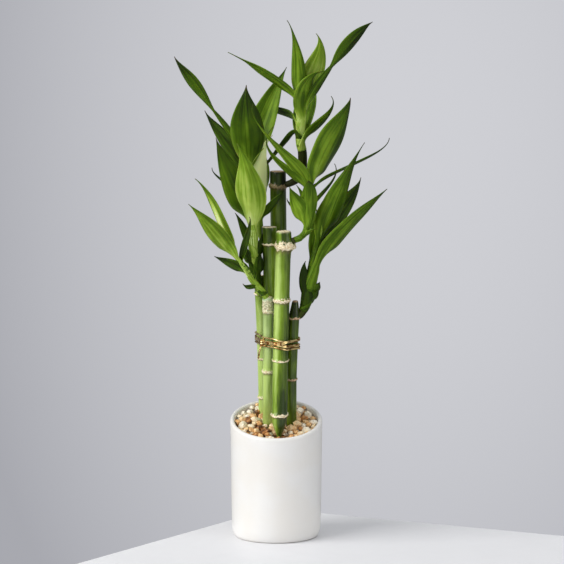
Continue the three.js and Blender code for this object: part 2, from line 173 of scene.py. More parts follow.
# Shoots: a stem through points that each carry its radius, its leaves, the tone of its stem and sheaths,
# and the heights between which the stem is bare and brown. A leaf has the height of its root on the stem,
# the middle and the tip of its rib, its width and its roll in degrees. Some have more: a tone (-1 deep
# green, 0 mid green, 1 young, 2 pale, 3 palest), a pale stripe along the middle, how drawn out the tip is,
# how much of the length is a narrow neck before the blade, how dry the tip is, turns (share of the length,
# degrees more of roll) and the length of the sheath.
Leaf = namedtuple(
    "Leaf",
    "root middle tip width roll tone stripe fall neck dry turns sheath",
    defaults=(0, 0, 2, 0, 0.5, (), 16),
)
Shoot = namedtuple("Shoot", "node stem leaves base dark", defaults=((0, 0),))
LEAF_DRAW = 11  # seed of the veins and waves
CLASP = 0.18  # how far a leaf follows its stem, as a share of its length
RISE = 1.4  # exponent of a leaf's outline from the root
NECK = 1.1  # half the width of a neck
BLADE = 0.5  # thickness
BLADE_TIP = 0.25  # half the width that a leaf ends with
CUPPED = 0.3  # half the angle that a blade's section bends through, at mid leaf
WRAPPED = 1.75  # the same where it leaves the stem
CLOSED = 2.75  # and at the foot of its sheath
SHORT = 35  # a leaf shorter than this wraps its stem less
CREASE = 0.18  # rise of a blade's halves from the rib, per half width
RIPPLE = 0.07  # waves of its edges, per half width
CORE = 0.86  # radius of the stem inside the sheaths, as a share of its radius over all
SHEATHED = 1.04  # radius of the sheaths, as the same share
OLD_LEAF = -0.6  # a leaf of this tone or deeper has a sheath of its own tone
BROWN_TONE = -0.2  # of a stem where it is bare
BROWN_DRY = 0.3
BLADE_COLUMNS = 10
BLADE_ROWS = 30
SHEATH_ROWS = 6
STEM_SIDES = 16
STEM_STEPS = 5  # between two of its points
STEM_STEP = 0.02  # over which its direction is taken
HALVINGS = 30  # of a stem, in the search for a height

TALL_TURNS = ((0.5, 0), (0.78, -45), (1, -80))
SHOOTS = (
    Shoot(
        "shoot_left",
        (
            (-12.8, 12, 184, 2.8), (-13.6, 7, 190, 3), (-15, 5, 201, 3.3), (-16.2, 4, 210, 3.8),
            (-17, 3, 220, 4), (-17.3, 2, 231, 3.9), (-18, 2, 241, 2.6), (-19.3, 2, 254, 2),
            (-20, 3, 270, 1.8), (-20.5, 4, 284, 1.5),
        ),
        (
            Leaf(280, (-47, 4, 323), (-76, -2, 364), 9.5, 45, -0.3, neck=0.5),
            Leaf(270, (-40, 9, 302), (-54, 13, 323), 16, 75, -0.5),
            Leaf(236, (-34, -3, 274), (-45, -7, 304), 21, 60, -0.3),
            Leaf(278, (-22, -15, 312), (-22, -22, 344), 26, 0, -0.3, 0.4, 1.7),
            Leaf(236, (-21, -18, 268), (-29, -25, 301), 24, 0, 1.1, 0.5),
            Leaf(279, (-7, 19, 322), (8, 30, 355), 21, 35, 0.25),
            Leaf(221, (-25, 0, 235), (-31, -2, 247), 6, 50, -0.5, sheath=8),
            Leaf(196, (-18, 2, 203), (-23, -1, 211), 4, 50, -0.6, sheath=8),
            Leaf(212, (-11.5, 2, 221), (-10.5, 2, 231), 7, -40, -0.8, sheath=14),
            Leaf(206, (-22, 0, 215), (-23.5, -1, 224), 7, 50, -0.7, sheath=10),
            Leaf(200, (-12.5, 1, 208), (-11, 1, 216), 7, -40, -0.9, sheath=12),
        ),
        1.2,
    ),
    Shoot(
        "shoot_mid",
        (
            (-7, 7, 220, 2.4), (-11.2, 10.6, 228, 2.6), (-12.6, 12.6, 238, 2.6), (-12.8, 12.8, 250, 2.2),
            (-12.6, 12.6, 262, 1.6),
        ),
        (
            # This blade's palest tone is painted light: it is made palest so that it reads as lit by the
            # key light
            Leaf(248, (-12, 6, 277), (-2.5, 2, 305), 14, -20, 3.8),
            Leaf(240, (-5, 6, 250), (6, 3, 264), 6, -50, -0.4),
            Leaf(246, (-31, 20, 261), (-49, 22, 279), 9, 30, -0.6),
            Leaf(256, (-15, 30, 284), (-21, 44, 305), 17, 0, 0),
            Leaf(242, (-21, 30, 260), (-31, 44, 268), 14, 0, -0.2),
        ),
        0.6,
    ),
    Shoot(
        "shoot_tall",
        (
            (4, 17.6, 266, 2.6), (11, 16, 268, 3), (16.5, 15, 272, 3.6), (19.6, 14, 280, 4.1),
            (19.8, 13, 291, 4), (18.4, 12.4, 298, 3.6), (18.3, 12, 305, 3.5), (18.6, 10, 316, 4),
            (18.4, 8.4, 325, 3.5), (18, 7.6, 335, 2),
        ),
        (
            Leaf(328, (-3, 4, 347), (-36, 0, 367), 7.5, 50, 0.2, fall=2.4, turns=TALL_TURNS),
            Leaf(330, (15, 3, 364), (8, 0, 391), 14, 20, 0.1, 0.4, 2.8),
            Leaf(328, (31, 9, 357), (30, 13, 381), 20, -85, 1.05, 0.6),
            Leaf(320, (38, -1, 352), (72, -6, 390), 9.5, -50, -0.4, fall=2.3, neck=0.47),
            Leaf(317, (22, 1, 336), (36, -1, 353), 17, -20, 0.1, sheath=5),
            Leaf(312, (1, 27, 320), (-13, 40, 326), 14, 35, -0.4, sheath=8),
            Leaf(299, (34, 10, 314), (41.5, 13, 334), 8, -45, 0, fall=2.3, sheath=6),
            Leaf(305, (2, 16, 293), (-17, 18, 275), 4.5, 40, -0.8, fall=3.2, sheath=3),
            Leaf(302, (24, 32, 330), (28, 46, 352), 17, 0, 0, sheath=8),
        ),
        1.35,
        (262, 297),
    ),
    Shoot(
        "shoot_front",
        (
            (8, -7.2, 225, 2.6), (13.5, -8.6, 227, 2.7), (19, -10.4, 230, 2.7), (22.6, -11.4, 235, 2.6),
            (24, -11, 244, 2.4), (24.4, -10, 254, 2.2), (25.2, -9, 264, 2), (25.6, -8, 271, 1.6),
        ),
        (
            Leaf(229.5, (25, -15, 234), (31, -17, 236), 3, -40, 0, sheath=2),
            Leaf(237, (16, -15, 253), (10, -17, 268), 15, 40, 0.2, 0.8, sheath=6),
            Leaf(236.5, (20, -7, 255), (15, -4, 268), 12, 70, 0.3, 0.4, sheath=6),
            Leaf(239, (15, -6, 248), (8, -2, 258), 5, 60, -0.9, sheath=5),
            Leaf(236, (25, -17, 258), (24, -23, 273), 12, 0, 0.2, 0.2, 1.1, sheath=5),
            Leaf(248, (39, -3, 265), (44, 1, 284), 8, -40, -0.7),
            Leaf(263, (59, 5, 283), (85.4, 18, 302), 6, -30, -0.6),
            Leaf(264, (42, 0, 299), (56, 8, 333), 25, -75, -0.1, 0.9, 1.7, dry=0.9),
            Leaf(266, (4, -17, 294), (-17, -25, 330), 10, 50, 0.35, fall=4.2),
            Leaf(262, (3, -5, 283), (-2, -2, 312), 10, 50, 0.25, fall=3),
        ),
        -0.1,
        (0, 228.5),
    ),
    Shoot(
        "shoot_right",
        (
            (14.5, -4.2, 168, 3), (18.6, -3.5, 170.5, 3.4), (21.6, -3, 177, 4.2), (24.4, -2, 187, 5.3),
            (26, -2, 195, 5.2), (28, -1, 204, 4.7), (29, 0, 211, 3.9), (30.3, 1, 219, 3),
            (31.6, 1, 227, 2.3), (32, 1, 235, 1.8),
        ),
        (
            Leaf(224, (46, -11, 261), (66, -16, 301), 17, -55, -0.2, 0.3, 2.8),
            Leaf(222, (51, 4, 250), (64, 8, 273), 18, -75, -0.5),
            Leaf(206, (51, -8, 233.5), (83, -13, 266), 13.5, -45, -0.2, 0.3, 2.2),
            Leaf(226, (31, -2, 240), (30, -3, 250), 7, -20, 1),
            Leaf(186, (21.2, -5.5, 198.5), (22.3, -6, 211), 8, 25, -1.3, dry=1, sheath=10),
            Leaf(186, (30.8, -4, 190), (33, -4, 195), 7, -50, -0.3, dry=1, sheath=9),
            Leaf(180, (29.5, -4, 184), (32.2, -4, 188.5), 6, -50, -0.6, dry=1, sheath=7),
            Leaf(177, (28.5, -2, 182), (31, -3, 187), 5, -40, -0.9, dry=0.8, sheath=4),
            Leaf(210, (36, 20, 243), (44, 32, 264), 15, 0, 0),
        ),
        -0.5,
        (0, 173),
    ),
    Shoot(
        "shoot_cap",
        (
            (-6.6, -4, 181, 2.8), (-9.6, -6, 187, 3), (-14, -8.4, 192, 3), (-18, -10.4, 198, 2.8),
            (-22, -12.4, 205, 2.6), (-26, -14, 210.5, 2.2), (-30, -15, 215, 1.8),
        ),
        (
            Leaf(212, (-46, -25, 234), (-65, -28, 256), 15, 50, 0.7, 0.4),
            Leaf(213, (-46, -11, 249), (-61, -6, 273), 13.5, 50, 0.7, 3),
            Leaf(201, (-35, -16, 210), (-46, -20, 216), 9, 45, -0.4, sheath=8),
            Leaf(190, (-19, -13, 191.5), (-25, -15, 195), 6, 45, -0.6, dry=1, sheath=4),
            Leaf(211, (-22, -14, 229), (-20, -12, 245), 5, 60, -0.7),
        ),
        1.2,
    ),
)

# Tie: each turn of the wire has its height over the middle of the band, its tilt, and the angle at which
# it is highest
TIE_HEIGHT = 149
TIE_TURNS = (
    (-3.4, 1.3, 200),
    (-1.9, 1.7, 215),
    (-0.4, 1.2, 190),
    (1.1, 1.6, 30),
    (2.6, 1.1, 60),
    (3.4, 1.5, 160),
)
TIE_STEPS = 90
TIE_ROOM = 0.3  # between the wire and the canes
WIRE_SIDES = 8
KNOT_ANGLE = 215  # round the bundle
KNOT_ROOM = 0.6  # between its coil and the canes
KNOT = (1.3, 0.8, 2.8)  # half the width, depth and height of its coil
KNOT_TURNS = 4
KNOT_STEPS = 60
TAIL = ((0, 0, 0), (-1.2, -0.8, -3), (-2.4, -0.4, -7), (-3, 0, -12))  # from the knot

# Colours that no setting changes
WARMER = (0.99, 0.975, 0.95)  # clouds in the glaze, as a share of its own colour
CLAY = (0.52, 0.49, 0.44)
# The bed's grit, made deep brown as painted shade in the gaps between the pebbles
GRIT_AND_GAP_SHADE = (0.13, 0.055, 0.018)
AMBER = (0.68, 0.34, 0.11)
SAND = (0.94, 0.73, 0.43)
CHALK = (0.94, 0.87, 0.72)
STONE_VEIN = (0.40, 0.24, 0.12)
WAX = (0.48, 0.58, 0.36)
SPECK = (0.42, 0.46, 0.2)
UNDER_RING = (0.13, 0.085, 0.03)
# Painted reflection on the gold wire: the dark surroundings that it mirrors
DARK_REFLECTION_GOLD = (0.22, 0.085, 0.02)

# Studio, in metres: the camera's place, its pitch and its lens for a 36 mm sensor
CAMERA_AT = (0.0044, -2.0, 0.44)
CAMERA_PITCH = 7
LENS = 170.4
SENSOR = 36
# The table's far corner lies behind the pot, and its two edges run forwards from there
TABLE_CORNER = (-0.004, 0.099, 0)
TABLE_LEFT = (-133, -184, 0)
TABLE_RIGHT = (223, -102, 0)
TABLE_SIDE = 2.5
TABLE_THICK = 0.03
TABLE_EDGE = 0.0015
TABLE_GRAIN = 0.985  # the grain's tone, as a share of the table's
# Each lamp: place, the point that it aims at, size, tint
LAMPS = {
    "key": ((-1.75, -0.93, 1.3), (0, 0, 0.2), (1.9, 1.6), (1, 0.99, 0.97)),
    "fill": ((1.8, -1.2, 0.9), (0, 0, 0.2), (1.4, 1.4), (0.97, 0.98, 1)),
    "top": ((0.3, 0.2, 2.2), (0, 0, 0), (2, 2), (0.98, 0.99, 1)),
}
SKY_TINT = (0.95, 0.97, 1, 1)
# Dark flags round the stage: a glossy surface mirrors this share of the sky's light
FLAGGED = 0.7
# The backdrop's glow: the direction of its middle, its width and height, and how far it reaches
GLOW_AT = (0.044, 1, -0.063)
GLOW_SHAPE = (1, 0, 0.65)
GLOW_REACH = 0.17


# Sizes and colours that a user would change
def colour(name, description, default):
    return bpy.props.FloatVectorProperty(
        name=name,
        description=description,
        default=default,
        size=3,
        min=0,
        max=1,
        subtype="COLOR",
    )


def length(name, description, default):
    return bpy.props.FloatProperty(
        name=name,
        description=description,
        default=default,
        min=0,
        unit="LENGTH",
        subtype="DISTANCE",
    )


def power(name, description, default):
    return bpy.props.FloatProperty(name=name, description=description, default=default, min=0, unit="POWER")


class PotSettings(bpy.types.PropertyGroup):
    """Sizes and glaze of the pot"""

    height: length("Height", "Height of the mouth on the axis", 0.09)
    radius: length("Radius", "Radius at the mouth", 0.035)
    wall: length("Wall", "Thickness of the wall", 0.0034)
    slope: bpy.props.FloatProperty(
        name="Slope",
        description="Rise of the mouth towards the back, per unit of depth",
        default=0.28,
        min=0,
        max=0.6,
    )
    glaze: colour("Glaze", "Colour of the satin glaze", (0.80, 0.79, 0.77))


class GravelSettings(bpy.types.PropertyGroup):
    """Sizes and colours of the pebbles"""

    pebble: length("Pebble", "Radius of a middling pebble", 0.003)
    seed: bpy.props.IntProperty(name="Seed", description="Draw of the pebbles", default=7, min=0)
    pale: colour("Pale", "Palest pebbles", (0.95, 0.86, 0.66))
    tan: colour("Tan", "Middling pebbles", (0.90, 0.62, 0.31))
    rust: colour("Rust", "Darkest pebbles", (0.40, 0.16, 0.045))


class CaneSettings(bpy.types.PropertyGroup):
    """Colours of the canes"""

    light: colour("Light", "Skin of the lighter canes where it is palest", (0.45, 0.60, 0.16))
    green: colour("Green", "Skin of the lighter canes", (0.17, 0.275, 0.014))
    deep: colour("Deep", "Skin of the lighter canes where it is darkest", (0.022, 0.045, 0.001))
    dark_light: colour("Dark light", "Skin of the darker canes where it is palest", (0.20, 0.32, 0.012))
    dark_green: colour("Dark green", "Skin of the darker canes", (0.05, 0.09, 0.002))
    dark_deep: colour("Dark deep", "Skin of the darker canes where it is darkest", (0.004, 0.007, 0.0005))
    scar: colour("Scar", "Dry rings and cut ends", (0.92, 0.84, 0.60))
    dark_scar: colour("Dark scar", "Dry rings and cut ends of the darker canes", (0.60, 0.43, 0.27))


class LeafSettings(bpy.types.PropertyGroup):
    """Colours of the leaves and shoots"""

    deep: colour("Deep", "Oldest leaves and the shade near their tips", (0.012, 0.026, 0.001))
    middle: colour("Middle", "Grown leaves", (0.055, 0.115, 0.002))
    young: colour("Young", "Young leaves", (0.18, 0.30, 0.018))
    pale: colour("Pale", "Leaf bases and sheaths", (0.42, 0.56, 0.10))
    # Where a blade takes this palest tone it is partly painted light
    palest: colour("Palest", "The palest blades", (0.80, 0.90, 0.40))
    dry: colour("Dry", "Dry tips and torn sheaths", (0.06, 0.035, 0.015))


class TieSettings(bpy.types.PropertyGroup):
    """Size and colour of the wire"""

    wire: length("Wire", "Radius of the wire", 0.0007)
    gold: colour("Gold", "Colour of the wire", (1.0, 0.77, 0.35))


class StudioSettings(bpy.types.PropertyGroup):
    """Light and tones of the studio"""

    key: power("Key light", "Power of the large light at the front left", 54)
    fill: power("Fill light", "Power of the light at the right", 10)
    top: power("Top light", "Power of the large light overhead", 10)
    sky: bpy.props.FloatProperty(
        name="Sky",
        description="Strength of the light from all round",
        default=0.42,
        min=0,
    )
    table: colour("Table", "Colour of the table top", (0.80, 0.80, 0.82))
    backdrop: colour("Backdrop", "Brightest tone of the backdrop", (0.625, 0.63, 0.665))
    shade: colour("Shade", "Darkest tone of the backdrop", (0.39, 0.395, 0.43))


SETTINGS = {
    "bamboo_pot": PotSettings,
    "bamboo_gravel": GravelSettings,
    "bamboo_canes": CaneSettings,
    "bamboo_leaves": LeafSettings,
    "bamboo_tie": TieSettings,
    "bamboo_studio": StudioSettings,
}


# Shader nodes
def add(tree, kind, inputs=None, **settings):
    """A new node with its settings, and each named input linked to a socket or given a value."""
    node = tree.nodes.new(kind)
    for key, value in settings.items():
        setattr(node, key, value)
    for key, value in (inputs or {}).items():
        if isinstance(value, bpy.types.NodeSocket):
            tree.links.new(value, node.inputs[key])
        else:
            node.inputs[key].default_value = value
    return node


def attribute(tree, name):
    return add(tree, "ShaderNodeAttribute", attribute_name=name).outputs["Fac"]


def object_space(tree, scale=(1, 1, 1)):
    """Object coordinates, stretched by a Mapping node."""
    place = add(tree, "ShaderNodeTexCoord").outputs["Object"]
    return add(tree, "ShaderNodeMapping", {"Vector": place, "Scale": scale}).outputs[0]


# The helpers from here on work in the tree of the socket that they are given first
def maths(operation, *values):
    """A Math node over a socket and more sockets or numbers."""
    inputs = dict(enumerate(values))
    return add(values[0].id_data, "ShaderNodeMath", inputs, operation=operation).outputs[0]


def plus(total, *values):
    for value in values:
        total = maths("ADD", total, value)
    return total


def times(one, other):
    return maths("MULTIPLY", one, other)


def stretched(value, low, high, to_low=0.0, to_high=1.0, smooth=True):
    """Where a value lies between two bounds, as a number from to_low to to_high."""
    inputs = {"Value": value, "From Min": low, "From Max": high, "To Min": to_low, "To Max": to_high}
    way = "SMOOTHSTEP" if smooth else "LINEAR"
    return add(value.id_data, "ShaderNodeMapRange", inputs, interpolation_type=way).outputs[0]


def spread(mask, low, high):
    """A mask as a number from low to high."""
    return stretched(mask, 0, 1, low, high)


def mixed(share, one, other):
    """Two colours mixed, each a socket or its red, green and blue."""
    one, other = (side if isinstance(side, bpy.types.NodeSocket) else (*side, 1) for side in (one, other))
    return add(share.id_data, "ShaderNodeMix", {0: share, 6: one, 7: other}, data_type="RGBA").outputs[2]


def ramped(value, stops):
    """A colour from a ramp whose stops are each a place and a colour."""
    node = add(value.id_data, "ShaderNodeValToRGB", {"Fac": value})
    elements = node.color_ramp.elements
    while len(elements) < len(stops):
        elements.new(0.5)
    for element, (place, shade) in zip(elements, stops):
        element.position = place
        element.color = (*shade, 1)
    return node.outputs["Color"]


def patches_group():
    """The shared group of every material here: soft patches of noise between two levels."""
    known = bpy.data.node_groups.get("Patches")
    if known:
        return known
    tree = bpy.data.node_groups.new("Patches", "ShaderNodeTree")
    tree.interface.new_socket("Vector", in_out="INPUT", socket_type="NodeSocketVector")
    for name, default in (("Scale", 100), ("Detail", 3), ("From", 0.35), ("To", 0.65)):
        socket = tree.interface.new_socket(name, in_out="INPUT", socket_type="NodeSocketFloat")
        socket.default_value = default
    tree.interface.new_socket("Mask", in_out="OUTPUT", socket_type="NodeSocketFloat")
    given = tree.nodes.new("NodeGroupInput").outputs
    grain = add(tree, "ShaderNodeTexNoise", {name: given[name] for name in ("Vector", "Scale", "Detail")})
    mask = stretched(grain.outputs["Fac"], given["From"], given["To"])
    end = tree.nodes.new("NodeGroupOutput")
    tree.links.new(mask, end.inputs["Mask"])
    return tree


def patches(vector, scale=1.0, detail=3.0, low=0.35, high=0.65):
    inputs = {"Vector": vector, "Scale": scale, "Detail": detail, "From": low, "To": high}
    return add(vector.id_data, "ShaderNodeGroup", inputs, node_tree=patches_group()).outputs["Mask"]


def bump(height, strength, distance):
    inputs = {"Height": height, "Strength": strength, "Distance": distance}
    return add(height.id_data, "ShaderNodeBump", inputs).outputs[0]


def new_material(name, **constants):
    """An empty material with a Principled BSDF whose constant sockets are set."""
    material = bpy.data.materials.new(name)
    material.use_nodes = True
    tree = material.node_tree
    shader = tree.nodes["Principled BSDF"]
    for key, value in constants.items():
        shader.inputs[key.replace("_", " ")].default_value = value
    return material, tree, shader


def feed(shader, **values):
    for key, value in values.items():
        shader.id_data.links.new(value, shader.inputs[key.replace("_", " ")])


def glaze_material(settings):
    """Satin white glaze with a faint orange peel, and a bare ring under the foot."""
    material, tree, shader = new_material("pot glaze", Coat_Weight=0.35, Coat_Roughness=0.12)
    place = object_space(tree)
    cloud = patches(place, scale=35, detail=2)
    warm = [channel * share for channel, share in zip(settings.glaze, WARMER)]
    height = add(tree, "ShaderNodeSeparateXYZ", {0: place}).outputs["Z"]
    bare = stretched(height, 0.0008, 0.0002)
    feed(
        shader,
        Base_Color=mixed(bare, mixed(cloud, settings.glaze, warm), CLAY),
        Roughness=spread(cloud, 0.3, 0.38),
        Normal=bump(patches(place, scale=260, detail=2), 0.12, 0.0002),
    )
    return material


def stone_material(settings):
    """Small river stones, each its own colour, mottled and a little waxy; the bed's deep brown is painted
    shade.
    """
    material, tree, shader = new_material("gravel stone")
    place = object_space(tree)
    mottle = patches(place, scale=420, detail=4)
    vein = patches(place, scale=900, low=0.5, high=0.7)
    stops = (
        (0.0, GRIT_AND_GAP_SHADE),
        (0.06, settings.rust),
        (0.2, AMBER),
        (0.42, settings.tan),
        (0.6, SAND),
        (0.78, settings.pale),
        (1.0, CHALK),
    )
    stone = ramped(plus(attribute(tree, "stone"), spread(mottle, -0.09, 0.09)), stops)
    feed(
        shader,
        Base_Color=mixed(times(vein, 0.35), stone, STONE_VEIN),
        Roughness=spread(mottle, 0.42, 0.62),
        Normal=bump(patches(place, scale=700, detail=4), 0.5, 0.0004),
    )
    return material


def cane_material(name, greens, scar, gloss):
    """Waxy green skin with fine lengthwise fibres, and dry cream scars on rings and cut ends."""
    material, tree, shader = new_material(
        name,
        Coat_Weight=gloss,
        Coat_Roughness=0.18,
        Specular_IOR_Level=0.25,
    )
    place = object_space(tree)
    fibres = patches(object_space(tree, (900, 900, 22)), detail=4, low=0.3, high=0.7)
    cloud = patches(object_space(tree, (70, 70, 26)), low=0.3, high=0.7)
    specks = patches(place, scale=1500, detail=2, low=0.62, high=0.72)
    shade = plus(
        stretched(attribute(tree, "tone"), -1, 1, 0, 1, smooth=False),
        spread(fibres, -0.08, 0.08),
        spread(cloud, -0.15, 0.15),
    )
    skin = ramped(shade, list(zip((0, 0.5, 1), greens)))
    skin = mixed(times(attribute(tree, "bloom"), spread(cloud, 0.3, 0.7)), skin, WAX)
    skin = mixed(times(specks, 0.12), skin, SPECK)
    # Distance from the ring's middle, in half heights, with a ragged edge
    ragged = patches(place, scale=520, low=0.2, high=0.8)
    away = plus(attribute(tree, "from_ring"), spread(ragged, -0.55, 0.55))
    browned = times(stretched(away, 3.2, 1.0), attribute(tree, "under"))
    skin = mixed(times(browned, 0.6), skin, UNDER_RING)
    ring = times(stretched(away, 1.15, 0.75), attribute(tree, "scar"))
    dry = maths("MAXIMUM", ring, attribute(tree, "cut"))
    cracks = patches(object_space(tree, (700, 700, 1500)), detail=4, low=0.35, high=0.6)
    cracked = [pale * share for pale, share in zip(scar, CRACK_SHARE)]
    relief = plus(times(fibres, 0.12), times(times(cracks, dry), 1.2))
    feed(
        shader,
        Base_Color=mixed(dry, skin, mixed(cracks, cracked, scar)),
        Roughness=spread(dry, 0.34, 0.72),
        Normal=bump(relief, 0.5, 0.0004),
    )
    return material


def leaf_material(settings):
    """Leaves and sheaths: parallel veins, paler bases, darker tips and dry ends."""
    material, tree, shader = new_material(
        "leaf green",
        Subsurface_Weight=0.1,
        Subsurface_Scale=0.0015,
        Specular_IOR_Level=0.1,
    )
    across = attribute(tree, "across")
    along = attribute(tree, "along")
    # Noise on lines along the leaf, which its own seed draws anew
    place = {0: times(across, 9), 1: along, 2: times(attribute(tree, "seed"), 40)}
    lines = add(tree, "ShaderNodeCombineXYZ", place).outputs[0]
    veins = patches(lines, low=0.3, high=0.7)
    broken = add(tree, "ShaderNodeMapping", {"Vector": lines, "Scale": (0.35, 2.2, 0.35)}).outputs[0]
    bands = patches(broken, detail=2)
    cloud = patches(object_space(tree), scale=70, low=0.3, high=0.7)
    edge = maths("ABSOLUTE", across)
    # In turn: the veins and bands, one half against the other (painted light and shade), clouds, the base,
    # the margins, the tip, the stripe and the rib
    shade = plus(
        attribute(tree, "tone"),
        spread(veins, -0.18, 0.18),
        spread(bands, -0.28, 0.28),
        stretched(across, -1, 1, 0.2, -0.2),
        spread(cloud, -0.15, 0.15),
        stretched(along, 0.4, 0.05, 0, 0.35),
        times(stretched(edge, 0.84, 0.98, 0, 0.45), stretched(along, 0, 0.12)),
        stretched(along, 0.55, 1.0, 0, -0.7),
        times(times(stretched(edge, 0.7, 0.1), attribute(tree, "stripe")), stretched(along, 0.85, 0.3)),
        times(stretched(edge, 0.07, 0.015), 0.18),
    )
    greens = (settings.deep, settings.middle, settings.young, settings.pale, settings.palest)
    level = stretched(shade, -1, 3, 0, 1, smooth=False)
    green = ramped(level, [(i / 4, green) for i, green in enumerate(greens)])
    end = plus(along, spread(cloud, -0.02, 0.02))
    dry = times(attribute(tree, "dry"), stretched(end, 0.9, 0.985))
    feed(
        shader,
        Base_Color=mixed(dry, green, settings.dry),
        Roughness=spread(cloud, 0.38, 0.5),
        Normal=bump(veins, 0.35, 0.00025),
    )
    return material


def gold_material(settings):
    """Bright gold wire with dark brown patches of painted reflection."""
    material, tree, shader = new_material("tie wire", Metallic=1)
    # Painted reflection: dark brown patches stand for the dark surroundings mirrored in the wire
    painted_dark_reflection = patches(object_space(tree, (1, 1, 2)), scale=260, low=0.44, high=0.62)
    feed(
        shader,
        Base_Color=mixed(painted_dark_reflection, settings.gold, DARK_REFLECTION_GOLD),
        Roughness=spread(painted_dark_reflection, 0.2, 0.4),
        Normal=bump(painted_dark_reflection, 0.3, 0.0002),
    )
    return material


# Meshes
def finished(name, bm, material, node, smooth=True):
    """A bmesh in millimetres as a piece in metres that stands for a CAD node."""
    bmesh.ops.remove_doubles(bm, verts=bm.verts, dist=0.0005)
    bmesh.ops.recalc_face_normals(bm, faces=bm.faces)
    bmesh.ops.scale(bm, vec=(MM, MM, MM), verts=bm.verts)
    for face in bm.faces:
        face.smooth = smooth
    mesh = bpy.data.meshes.new(name)
    bm.to_mesh(mesh)
    bm.free()
    mesh.materials.append(material)
    piece = bpy.data.objects.new(name, mesh)
    bpy.context.scene.collection.objects.link(piece)
    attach(piece, "root")
    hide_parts(node)


def float_layers(bm, *names):
    return {name: bm.verts.layers.float.new(name) for name in names}


def label(vert, layers, **values):
    for name, value in values.items():
        vert[layers[name]] = value


def smoothstep(value, low, high):
    share = min(max((value - low) / (high - low), 0), 1)
    return share * share * (3 - 2 * share)


def lerp(one, other, share):
    return one + (other - one) * share


def arc(radius, height, wide, high, start, stop, steps):
    """Points of an elliptical arc in the plane of radius and height, between two angles in degrees."""
    points = []
    for i in range(steps + 1):
        angle = math.radians(lerp(start, stop, i / steps))
        points.append((radius + wide * math.cos(angle), height + high * math.sin(angle)))
    return points


def spun(bm, profile, steps):
    """Turns a profile of radii and heights round the axis."""
    corners = [bm.verts.new((radius, 0, height)) for radius, height in profile]
    edges = [bm.edges.new(pair) for pair in zip(corners, corners[1:])]
    bmesh.ops.spin(
        bm,
        geom=corners + edges,
        cent=(0, 0, 0),
        axis=(0, 0, 1),
        angle=2 * math.pi,
        steps=steps,
        use_merge=True,
    )
    bmesh.ops.remove_doubles(bm, verts=bm.verts, dist=0.001)


def slanted(bm, slope):
    """Lifts what is high enough by its depth, as the pot's mouth is cut."""
    for vert in bm.verts:
        vert.co.z += vert.co.y * slope * smoothstep(vert.co.z, SLANT_FROM, SLANT_TO)


def across_path(centres, radii, up):
    """The places of a tube's sections, square to its path and with their Y near a given direction."""
    last = len(centres) - 1
    places = []
    for i, centre in enumerate(centres):
        z = (centres[min(i + 1, last)] - centres[max(i - 1, 0)]).normalized()
        x = up.cross(z).normalized()
        turn = Matrix((x, z.cross(x), z)).transposed().to_4x4()
        places.append(Matrix.Translation(centre) @ turn @ Matrix.Scale(radii[i], 4))
    return places


def swept(bm, places, sides, mark=None):
    """A tube: one circle, extruded from place to place. mark(verts, i) labels the verts of each."""
    ring = bmesh.ops.create_circle(bm, segments=sides, radius=1, matrix=places[0])["verts"]
    edges = list({edge for vert in ring for edge in vert.link_edges})
    bmesh.ops.contextual_create(bm, geom=edges)
    for i in range(len(places)):
        if i > 0:
            made = bmesh.ops.extrude_edge_only(bm, edges=edges)["geom"]
            ring = [part for part in made if isinstance(part, bmesh.types.BMVert)]
            known = set(ring)
            edges = [part for part in made if isinstance(part, bmesh.types.BMEdge)]
            edges = [edge for edge in edges if known.issuperset(edge.verts)]
            bmesh.ops.transform(bm, matrix=places[i] @ places[i - 1].inverted(), verts=ring)
        if mark:
            mark(ring, i)
    bmesh.ops.contextual_create(bm, geom=edges)


# Pieces
def cane_axis(cane, height):
    """The point of a cane's axis at a height, on the parabola through its three points."""
    point = Vector((0, 0, height))
    for i, (x, y, z) in enumerate(cane.axis):
        share = 1
        for j, other in enumerate(cane.axis):
            if j != i:
                share *= (height - other[2]) / (z - other[2])
        point.x += x * share
        point.y += y * share
    return point


def build_pot(settings):
    radius = settings.radius / MM
    height = settings.height / MM
    wall = settings.wall / MM
    waist = radius * WAIST_SHARE
    foot = radius * FOOT_SHARE
    lip = wall / 2
    corner = radius - wall - INNER_CORNER
    profile = [(0, 0), (foot * 0.6, 0), (foot * 0.97, 0)]
    profile += arc(foot, FOOT_HEIGHT, waist - foot, FOOT_HEIGHT, -90, 0, 12)
    profile += [
        (lerp(waist, radius, i / 10), lerp(FOOT_HEIGHT, height - lip, i / 10))
        for i in range(1, 10)
    ]
    profile += arc(radius - lip, height - lip, lip, lip, 0, 180, 10)
    profile += [(radius - wall, lerp(height - lip, FLOOR + INNER_CORNER, i / 6)) for i in range(1, 6)]
    profile += arc(corner, FLOOR + INNER_CORNER, INNER_CORNER, INNER_CORNER, 0, -90, 6)
    profile += [(0, FLOOR)]
    bm = bmesh.new()
    spun(bm, profile, POT_STEPS)
    slanted(bm, settings.slope)
    finished("pot_ceramic", bm, glaze_material(settings), "pot")


